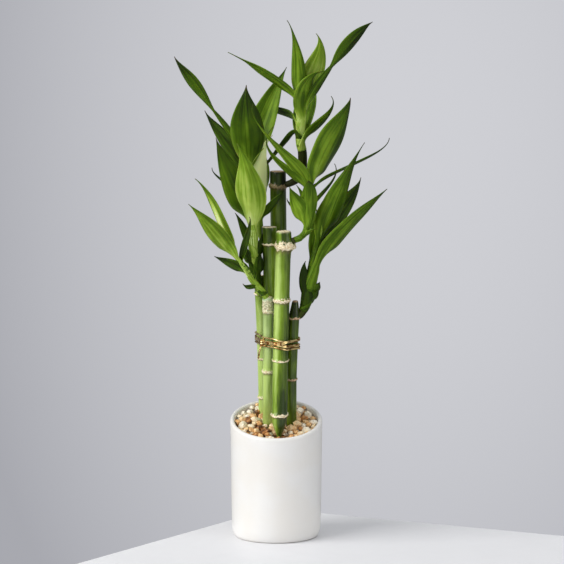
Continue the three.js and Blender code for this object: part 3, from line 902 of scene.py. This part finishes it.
def build_gravel(pot, settings):
    inner = (pot.radius - pot.wall) / MM - GRAVEL_GAP
    material = stone_material(settings)

    bed = bmesh.new()
    stone = bed.verts.layers.float.new("stone")
    corner = inner - INNER_CORNER
    profile = [(0, FLOOR + GRAVEL_GAP)]
    profile += arc(corner, FLOOR + GRAVEL_GAP + INNER_CORNER, INNER_CORNER, INNER_CORNER, -90, 0, 5)
    profile += [(inner, GRAVEL_BED - 6), (inner, GRAVEL_BED)]
    profile += [(inner * (1 - i / 8), GRAVEL_BED) for i in range(1, 8)] + [(0, GRAVEL_BED)]
    spun(bed, profile, BED_STEPS)
    for vert in bed.verts:
        # The deepest stone colour: painted shade for the gaps between the pebbles
        vert[stone] = 0
        if vert.co.z > GRAVEL_BED - 1:
            vert.co.z += BED_ROUGH * noise.noise(vert.co * 0.35)
    slanted(bed, pot.slope)
    finished("gravel_bed", bed, material, "gravel")

    size = settings.pebble / MM
    draw = random.Random(settings.seed)
    feet = [(cane_axis(cane, GRAVEL_TOP), cane.radius) for cane in CANES]
    stones = bmesh.new()
    stone = stones.verts.layers.float.new("stone")
    for level, tries in PEBBLE_LAYERS:
        placed = []
        for _ in range(tries):
            angle = draw.uniform(0, 2 * math.pi)
            radius = size * draw.choice(PEBBLE_SIZES)
            reach = (inner - PEBBLE_OFF_WALL * radius) * math.sqrt(draw.random())
            x, y = reach * math.cos(angle), reach * math.sin(angle)
            if any(math.hypot(x - at.x, y - at.y) < wide + PEBBLE_OFF_CANE * radius for at, wide in feet):
                continue
            if any(math.hypot(x - px, y - py) < PEBBLE_APART * (radius + pr) for px, py, pr in placed):
                continue
            placed.append((x, y, radius))
            height = GRAVEL_TOP + y * (pot.slope + GRAVEL_TILT) + level
            pebble(stones, stone, Vector((x, y, height)), radius, draw)
    finished("gravel_pebbles", stones, material, "gravel", smooth=False)


def pebble(bm, layer, centre, radius, draw):
    """One rough stone: an icosphere pushed about by noise, flattened and turned."""
    verts = bmesh.ops.create_icosphere(bm, subdivisions=2, radius=radius)["verts"]
    offset = Vector((draw.uniform(0, 99), draw.uniform(0, 99), draw.uniform(0, 99)))
    shade = draw.random()
    hollows, ridges = PEBBLE_ROUGH
    for vert in verts:
        push = noise.noise(vert.co * (0.75 / radius) + offset)
        ridge = noise.noise(vert.co * (1.7 / radius) - offset)
        vert.co *= 1 + hollows * push + ridges * ridge
        vert[layer] = shade
    shape = Matrix.Diagonal((1, draw.uniform(*PEBBLE_DEEP), draw.uniform(*PEBBLE_TALL), 1))
    tilts = [Matrix.Rotation(draw.uniform(-PEBBLE_TILT, PEBBLE_TILT), 4, axis) for axis in "XY"]
    turn = Matrix.Rotation(draw.uniform(0, 2 * math.pi), 4, "Z")
    place = Matrix.Translation(centre) @ turn @ (tilts[0] @ tilts[1]) @ shape
    bmesh.ops.transform(bm, matrix=place, verts=verts)


def nearness(height, ring, reach=1):
    """How near a height is to a ring: 1 at its middle, falling to 0."""
    return math.exp(-(((height - ring.height) / (reach * ring.tall)) ** 2))


def build_cane(cane, material):
    foot, top = cane.axis[0][2], cane.axis[2][2]
    first, last = cane.rings[0].height, cane.rings[-1].height
    heights = [foot]
    for ring in cane.rings:
        heights += [ring.height + step * ring.tall for step in RING_STEPS]
    for before, after in zip(cane.rings, cane.rings[1:]):
        heights += [lerp(before.height, after.height, share) for share in (0.3, 0.5, 0.7)]
    if cane.taper:
        heights += [lerp(*cane.taper, i / 6) for i in range(7)]
    heights = sorted({round(height, 3) for height in heights if foot <= height < top - cane.lip - 0.3})
    # Each station: its height, how far it stands in, and how much of it is cut. The cut end runs over the
    # rounded lip, then in over the dished face.
    stations = [(height, 0, 0) for height in heights] + [
        (top - cane.lip, 0, 0),
        (top - 0.5 * cane.lip, 0.15 * cane.lip, 0.3),
        (top - 0.1 * cane.lip, 0.5 * cane.lip, 1),
        (top, cane.lip, 1),
        (top - 0.25, cane.radius * 0.45, 1),
        (top - 0.7, cane.radius * 0.6, 1),
        (top - 0.8, cane.radius * 0.93, 1),
    ]
    places = []
    for height, inset, _ in stations:
        wide = cane.radius + sum(ring.swelling * nearness(height, ring) for ring in cane.rings) - inset
        if cane.taper:
            wide *= lerp(TAPERED, 1, smoothstep(height, *cane.taper))
        narrowing = max(0, (height - last - STUB_FROM) / (top - last - STUB_FROM))
        wide *= lerp(1, cane.stub, narrowing)
        places.append(Matrix.Translation(cane_axis(cane, height)) @ Matrix.Diagonal((wide, wide, 1, 1)))
    bm = bmesh.new()
    layers = float_layers(bm, "from_ring", "under", "scar", "cut", "tone", "bloom", "height")

    def mark(verts, i):
        height, _, cut = stations[i]
        nearest = min(cane.rings, key=lambda ring: abs(height - ring.height) / ring.tall)
        tone = cane.tone + cane.rise * (smoothstep(height, *LIGHTENED) - 0.5)
        tone -= CROWN_DARKER * smoothstep(height, last - CROWN, last)
        if height > last + 1:
            tone -= STUB_DARKER
        if cane.taper and height < first:
            tone -= FOOT_DARKER
        pale = CAP_PALER if cane.cap and height > cane.cap else 0
        for vert in verts:
            # Painted light and shade: one side of the cane is made lighter and the other darker, as the
            # light falls
            side = (vert.co.x - places[i].translation.x) / cane.radius
            # The band is a painted highlight: a pale stripe at the left where the key light glints on the
            # skin
            band = math.exp(-(((side + HIGHLIGHT_BAND_AT) / HIGHLIGHT_BAND_WIDE) ** 2))
            label(
                vert,
                layers,
                from_ring=min(RING_FAR, abs(height - nearest.height) / nearest.tall),
                under=1 if height < nearest.height else 0,
                scar=nearest.scar,
                cut=cut,
                tone=tone + pale - cane.sun * side + cane.band * band,
                bloom=cane.bloom * smoothstep(height, *BLOOMED) + pale,
                height=height,
            )

    swept(bm, places, CANE_SIDES, mark)
    seed = Vector((cane.axis[1][0] * 7.3, cane.axis[1][1] * 5.1, 0))
    for vert in bm.verts:
        height = vert[layers["height"]]
        out = vert.co - cane_axis(cane, height)
        out.z = 0
        for ring in cane.rings:
            near = nearness(height, ring, RING_SPREAD)
            if near < 0.01:
                continue
            ripple = noise.noise(out * 0.35 + seed + Vector((0, 0, ring.height)))
            lump = noise.noise(out * 0.8 + seed + Vector((0, 0, height * 0.7)))
            vert.co.z += near * (ring.dip * out.y + ring.lumps * 1.6 * ripple)
            vert.co.x += near * ring.aside
            if out.length > 0.1:
                vert.co += out.normalized() * near * ring.lumps * 0.7 * lump
    finished(cane.node + "_stalk", bm, material, cane.node)


class Stem:
    """The axis of a shoot: a smooth curve through its points, each with the stem's radius there."""

    def __init__(self, points):
        self.points = [Vector(point[:3]) for point in points]
        self.radii = [point[3] for point in points]
        self.last = len(points) - 1

    def at(self, place):
        i = min(int(place), self.last - 1)
        t = place - i
        p1, p2 = self.points[i], self.points[i + 1]
        p0 = self.points[i - 1] if i > 0 else 2 * p1 - p2
        p3 = self.points[i + 2] if i + 2 <= self.last else 2 * p2 - p1
        square = 2 * p0 - 5 * p1 + 4 * p2 - p3
        cube = 3 * p1 - p0 - 3 * p2 + p3
        return 0.5 * (2 * p1 + (p2 - p0) * t + square * t * t + cube * t**3)

    def radius(self, place):
        i = min(int(place), self.last - 1)
        return lerp(self.radii[i], self.radii[i + 1], place - i)

    def direction(self, place):
        before, after = max(place - STEM_STEP, 0), min(place + STEM_STEP, self.last)
        return (self.at(after) - self.at(before)).normalized()

    def place_of(self, height):
        low, high = 0, self.last
        for _ in range(HALVINGS):
            half = (low + high) / 2
            if self.at(half).z < height:
                low = half
            else:
                high = half
        return low


def outline(share, fall):
    """Half the width of a blade, from 0 at its root through 1 at its widest to 0 at its tip."""
    peak = RISE / (RISE + fall)
    return (share / peak) ** RISE * ((1 - share) / (1 - peak)) ** fall


def roll_at(leaf, share):
    """A leaf's roll in radians: it starts level on its stem, and its turns add to it along the blade."""
    turn = leaf.roll * smoothstep(share, 0, 0.3)
    turns = ((0, 0), *leaf.turns, (1, leaf.turns[-1][1] if leaf.turns else 0))
    for (start, before), (stop, after) in zip(turns, turns[1:]):
        if start <= share <= stop and stop > start:
            turn += lerp(before, after, smoothstep(share, start, stop))
            break
    return math.radians(turn)


def grow_leaf(bm, layers, stem, leaf, base, draw):
    """One leaf with its sheath: a grid whose rows are laid along the rib, given a thickness."""
    place = stem.place_of(leaf.root)
    onto = stem.at(place)
    thick = stem.radius(place)
    tip = Vector(leaf.tip)
    away = (tip - onto) * Vector((1, 1, 0))
    away.normalize()
    root = onto + away * thick
    span = (tip - root).length
    leaving = root + stem.direction(place) * CLASP * span
    middle = Vector(leaf.middle)
    # The last handle brings the rib through the leaf's middle, at the share of its length that is before it
    before, after = (middle - root).length, (tip - middle).length
    m = min(max(before / (before + after), 0.4), 0.65)
    n = 1 - m
    bend = (middle - n**3 * root - 3 * n * n * m * leaving - m**3 * tip) / (3 * n * m * m)
    across = UP.cross(away)
    grip = WRAPPED * min(1, span / SHORT)

    def rib(t):
        u = 1 - t
        return u**3 * root + 3 * u * u * t * leaving + 3 * u * t * t * bend + t**3 * tip

    def section(row):
        """The rib's point, the directions sideways and upwards, half the width and half the bend."""
        if row < SHEATH_ROWS:
            share = row / SHEATH_ROWS
            height = leaf.root - leaf.sheath * (1 - share)
            spot = stem.place_of(max(height, stem.points[0].z))
            along = stem.direction(spot)
            out = (away - along * away.dot(along)).normalized()
            wide = stem.radius(spot) * lerp(CORE + 0.04, SHEATHED, share)
            side = along.cross(out)
            turn = lerp(CLOSED, grip, share)
            return stem.at(spot) + out * wide, side, -out, wide * turn, turn, share - 1
        share = (row - SHEATH_ROWS) / BLADE_ROWS
        along = (rib(min(share + 0.01, 1)) - rib(max(share - 0.01, 0))).normalized()
        side = (across - along * across.dot(along)).normalized()
        face = along.cross(side)
        twist = Matrix.Rotation(roll_at(leaf, share), 3, along)
        blade = max(share - leaf.neck, 0) / (1 - leaf.neck)
        half = leaf.width / 2 * outline(blade, leaf.fall)
        half += thick * SHEATHED * grip * (1 - share) ** 6 + BLADE_TIP * share
        if leaf.neck:
            lobe = max(0, 1 - share / leaf.neck) * share / leaf.neck
            neck = NECK * smoothstep(share, 0, leaf.neck) * smoothstep(share, 1, leaf.neck)
            half += lobe * leaf.width + neck
        turn = lerp(CUPPED, grip, (1 - share) ** 6)
        return rib(share), twist @ side, twist @ face, half, turn, share

    rows = SHEATH_ROWS + BLADE_ROWS
    verts = bmesh.ops.create_grid(bm, x_segments=BLADE_COLUMNS, y_segments=rows, size=1)["verts"]
    faces = list({face for vert in verts for face in vert.link_faces})
    foot = base + 0.5 * max(leaf.tone, 0) if leaf.tone > OLD_LEAF else leaf.tone
    seed = draw.random()
    phase = draw.uniform(0, 6)
    sections = [section(row) for row in range(rows + 1)]
    for vert in verts:
        t = vert.co.x
        row = round((vert.co.y + 1) / 2 * rows)
        centre, side, face, half, turn, share = sections[row]
        bow = half / turn
        open_part = smoothstep(share, 0, 0.25)
        wave = RIPPLE * t * t * math.sin(phase + 11 * share * span / 60 + 1.5 * t)
        rise = bow * (1 - math.cos(t * turn)) + half * open_part * (CREASE * abs(t) + wave)
        vert.co = centre + side * bow * math.sin(t * turn) + face * rise
        along = share if share >= 0 else 0.12 * share
        tone = lerp(foot, leaf.tone, smoothstep(share, 0, 0.3))
        label(vert, layers, across=t, along=along, tone=tone, seed=seed, stripe=leaf.stripe, dry=leaf.dry)
    bmesh.ops.recalc_face_normals(bm, faces=faces)
    bmesh.ops.solidify(bm, geom=faces, thickness=BLADE)


def build_shoot(shoot, material, draw):
    bm = bmesh.new()
    layers = float_layers(bm, "across", "along", "tone", "seed", "stripe", "dry")
    stem = Stem(shoot.stem)
    steps = STEM_STEPS * stem.last
    places = [i * stem.last / steps for i in range(steps + 1)]
    centres = [stem.at(place) for place in places]
    radii = [stem.radius(place) * CORE for place in places]
    seed = draw.random()

    def mark(verts, i):
        brown = shoot.dark[0] < centres[i].z < shoot.dark[1]
        along, tone = (1, BROWN_TONE) if brown else (0, shoot.base)
        for vert in verts:
            out = vert.co - centres[i]
            across = abs(math.atan2(out.x, -out.y)) / math.pi * 2
            label(vert, layers, across=across, along=along, tone=tone, dry=BROWN_DRY, seed=seed)

    swept(bm, across_path(centres, radii, Vector((0, 1, 0))), STEM_SIDES, mark)
    for leaf in shoot.leaves:
        grow_leaf(bm, layers, stem, leaf, shoot.base, draw)
    finished(shoot.node + "_leaves", bm, material, shoot.node)


def round_bundle(angle, height, room):
    """The point at an angle on a band stretched round the canes."""
    out = Vector((math.cos(angle), math.sin(angle), 0))
    best = max(CANES, key=lambda cane: cane_axis(cane, height).dot(out) + cane.radius)
    return cane_axis(best, height) + out * (best.radius + room)


def build_tie(settings):
    wire = settings.wire / MM
    bm = bmesh.new()

    def bent(points, up):
        swept(bm, across_path(points, [wire] * len(points), Vector(up).normalized()), WIRE_SIDES)

    for lift, tilt, highest in TIE_TURNS:
        turn = []
        for i in range(TIE_STEPS + 1):
            angle = 2 * math.pi * i / TIE_STEPS
            point = round_bundle(angle, TIE_HEIGHT, wire + TIE_ROOM)
            point.z += lift + tilt * math.cos(angle - math.radians(highest))
            turn.append(point)
        bent(turn, (1, 0, 1))
    knot = round_bundle(math.radians(KNOT_ANGLE), TIE_HEIGHT, wire + KNOT_ROOM)
    wide, deep, high = KNOT
    coil = []
    for i in range(KNOT_STEPS):
        share = i / (KNOT_STEPS - 1)
        angle = share * 2 * math.pi * KNOT_TURNS
        step = (wide * math.cos(angle), deep * math.sin(angle), lerp(-high, high, share))
        coil.append(knot + Vector(step))
    bent(coil, (1, 1, 0))
    bent([knot + Vector(step) for step in TAIL], (1, 1, 0))
    finished("tie_wire", bm, gold_material(settings), "tie")


# Stage
def build_camera(scene):
    camera = bpy.data.objects.new("camera", bpy.data.cameras.new("camera"))
    scene.collection.objects.link(camera)
    camera.location = CAMERA_AT
    camera.rotation_euler = (math.radians(90 - CAMERA_PITCH), 0, 0)
    camera.data.lens = LENS
    camera.data.sensor_width = SENSOR
    scene.camera = camera


def build_lamp(scene, name, energy):
    place, aim, size, tint = LAMPS[name]
    lamp = bpy.data.lights.new(name, "AREA")
    lamp.shape = "RECTANGLE"
    lamp.size, lamp.size_y = size
    lamp.energy = energy
    lamp.color = tint
    light = bpy.data.objects.new(name, lamp)
    scene.collection.objects.link(light)
    light.location = place
    light.rotation_euler = (Vector(aim) - Vector(place)).to_track_quat("-Z", "Y").to_euler()


def build_table(scene, settings):
    corner = Vector(TABLE_CORNER)
    left = Vector(TABLE_LEFT).normalized() * TABLE_SIDE
    right = Vector(TABLE_RIGHT).normalized() * TABLE_SIDE
    bm = bmesh.new()
    top = [bm.verts.new(point) for point in (corner, corner + left, corner + left + right, corner + right)]
    slab = bmesh.ops.extrude_face_region(bm, geom=[bm.faces.new(top)])["geom"]
    lowered = [part for part in slab if isinstance(part, bmesh.types.BMVert)]
    bmesh.ops.translate(bm, vec=(0, 0, -TABLE_THICK), verts=lowered)
    bmesh.ops.recalc_face_normals(bm, faces=bm.faces)
    bmesh.ops.bevel(
        bm,
        geom=bm.edges[:],
        offset=TABLE_EDGE,
        affect="EDGES",
        segments=3,
        profile=0.5,
        material=-1,
    )
    mesh = bpy.data.meshes.new("table")
    bm.to_mesh(mesh)
    bm.free()
    table = bpy.data.objects.new("table", mesh)
    scene.collection.objects.link(table)
    material, tree, shader = new_material("table white")
    grain = patches(object_space(tree), scale=40)
    shade = [TABLE_GRAIN * channel for channel in settings.table]
    feed(shader, Base_Color=mixed(grain, settings.table, shade), Roughness=spread(grain, 0.5, 0.6))
    mesh.materials.append(material)


def build_sky(scene, settings):
    """What the camera sees behind the object, and the light from all round."""
    world = bpy.data.worlds.new("studio")
    scene.world = world
    world.use_nodes = True
    tree = world.node_tree
    tree.nodes.clear()
    way = add(tree, "ShaderNodeTexCoord").outputs["Generated"]
    centred = add(tree, "ShaderNodeVectorMath", {0: way, 1: GLOW_AT}, operation="SUBTRACT").outputs[0]
    flat = add(tree, "ShaderNodeVectorMath", {0: centred, 1: GLOW_SHAPE}, operation="MULTIPLY").outputs[0]
    far = add(tree, "ShaderNodeVectorMath", {0: flat}, operation="LENGTH").outputs["Value"]
    fading = maths("POWER", stretched(far, 0, GLOW_REACH, 0, 1, smooth=False), 2)
    backdrop = mixed(fading, settings.backdrop, settings.shade)
    seen = add(tree, "ShaderNodeBackground", {"Color": backdrop, "Strength": 1})
    ray = add(tree, "ShaderNodeLightPath").outputs
    flagged = FLAGGED * settings.sky
    strength = stretched(ray["Is Glossy Ray"], 0, 1, settings.sky, flagged, smooth=False)
    sky = add(tree, "ShaderNodeBackground", {"Color": SKY_TINT, "Strength": strength})
    sides = {0: ray["Is Camera Ray"], 1: sky.outputs[0], 2: seen.outputs[0]}
    both = add(tree, "ShaderNodeMixShader", sides).outputs[0]
    add(tree, "ShaderNodeOutputWorld", {"Surface": both})


def build_studio(settings):
    scene = bpy.context.scene
    scene.view_settings.view_transform = "Standard"
    build_camera(scene)
    build_table(scene, settings)
    for name in LAMPS:
        build_lamp(scene, name, getattr(settings, name))
    build_sky(scene, settings)


# Operators
class BAMBOO_OT_pot(bpy.types.Operator):
    """Turns the white pot and slants its mouth"""

    bl_idname = "bamboo.pot"
    bl_label = "Pot"

    def execute(self, context):
        build_pot(context.scene.bamboo_pot)
        return {"FINISHED"}


class BAMBOO_OT_gravel(bpy.types.Operator):
    """Fills the pot with grit and pebbles"""

    bl_idname = "bamboo.gravel"
    bl_label = "Gravel"

    def execute(self, context):
        build_gravel(context.scene.bamboo_pot, context.scene.bamboo_gravel)
        return {"FINISHED"}


class BAMBOO_OT_canes(bpy.types.Operator):
    """Stands the six cut canes in the gravel"""

    bl_idname = "bamboo.canes"
    bl_label = "Canes"

    def execute(self, context):
        settings = context.scene.bamboo_canes
        greens = (settings.deep, settings.green, settings.light)
        darks = (settings.dark_deep, settings.dark_green, settings.dark_light)
        skins = {
            "cane_green": cane_material("cane green", greens, settings.scar, GLOSS),
            "cane_dark": cane_material("cane dark", darks, settings.dark_scar, DARK_GLOSS),
        }
        for cane in CANES:
            build_cane(cane, skins[cane.slot])
        return {"FINISHED"}


class BAMBOO_OT_shoots(bpy.types.Operator):
    """Grows the leafy shoots"""

    bl_idname = "bamboo.shoots"
    bl_label = "Shoots"

    def execute(self, context):
        material = leaf_material(context.scene.bamboo_leaves)
        draw = random.Random(LEAF_DRAW)
        for shoot in SHOOTS:
            build_shoot(shoot, material, draw)
        return {"FINISHED"}


class BAMBOO_OT_tie(bpy.types.Operator):
    """Winds the gold wire round the canes"""

    bl_idname = "bamboo.tie"
    bl_label = "Tie"

    def execute(self, context):
        build_tie(context.scene.bamboo_tie)
        return {"FINISHED"}


class BAMBOO_OT_studio(bpy.types.Operator):
    """Sets the table, the backdrop, the lights and the camera"""

    bl_idname = "bamboo.studio"
    bl_label = "Studio"

    def execute(self, context):
        build_studio(context.scene.bamboo_studio)
        return {"FINISHED"}


OPERATORS = (
    BAMBOO_OT_pot,
    BAMBOO_OT_gravel,
    BAMBOO_OT_canes,
    BAMBOO_OT_shoots,
    BAMBOO_OT_tie,
    BAMBOO_OT_studio,
)


class BAMBOO_PT_panel(bpy.types.Panel):
    """Buttons that build the plant, each over its sizes and colours"""

    bl_idname = "BAMBOO_PT_panel"
    bl_label = "Potted Lucky Bamboo"
    bl_space_type = "VIEW_3D"
    bl_region_type = "UI"
    bl_category = "Bamboo"

    def draw(self, context):
        for operator, name in zip(OPERATORS, ("pot", "gravel", "canes", "leaves", "tie", "studio")):
            box = self.layout.box()
            box.operator(operator.bl_idname)
            settings = getattr(context.scene, "bamboo_" + name)
            for key in settings.__annotations__:
                box.prop(settings, key)


CLASSES = (*SETTINGS.values(), *OPERATORS, BAMBOO_PT_panel)


def register():
    for item in CLASSES:
        bpy.utils.register_class(item)
    for name, group in SETTINGS.items():
        setattr(bpy.types.Scene, name, bpy.props.PointerProperty(type=group))


def unregister():
    for name in SETTINGS:
        delattr(bpy.types.Scene, name)
    for item in reversed(CLASSES):
        bpy.utils.unregister_class(item)


def main():
    register()
    bpy.ops.bamboo.studio()
    bpy.ops.bamboo.pot()
    bpy.ops.bamboo.gravel()
    bpy.ops.bamboo.canes()
    bpy.ops.bamboo.shoots()
    bpy.ops.bamboo.tie()


if __name__ == "__main__":
    main()
